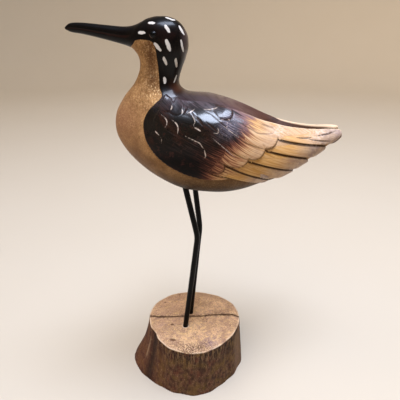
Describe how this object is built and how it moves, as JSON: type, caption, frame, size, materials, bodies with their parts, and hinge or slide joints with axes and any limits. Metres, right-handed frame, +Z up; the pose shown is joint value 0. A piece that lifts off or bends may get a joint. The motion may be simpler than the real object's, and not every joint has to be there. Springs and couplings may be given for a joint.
{
  "type": "shorebird decoy",
  "caption": "Carved and painted long-billed shorebird ornament on bent wire legs that stand in a slice of log.",
  "frame": {"origin": "on the log's flat underside, below the middle of its sawn top", "axes": "+Z up, the bill points to -X, the bird's left side faces -Y"},
  "size_m": [0.1877, 0.0809, 0.2914],
  "materials": {
    "painted_carving": "painted and varnished, glossy near-black over tan and cream",
    "black_wire": "satin black paint",
    "raw_log": "sawn end grain over bare fibrous sides"
  },
  "bodies": {
    "root": {"bird": "painted_carving", "left_leg": "black_wire", "right_leg": "black_wire", "log_base": "raw_log"}
  },
  "joints": []
}
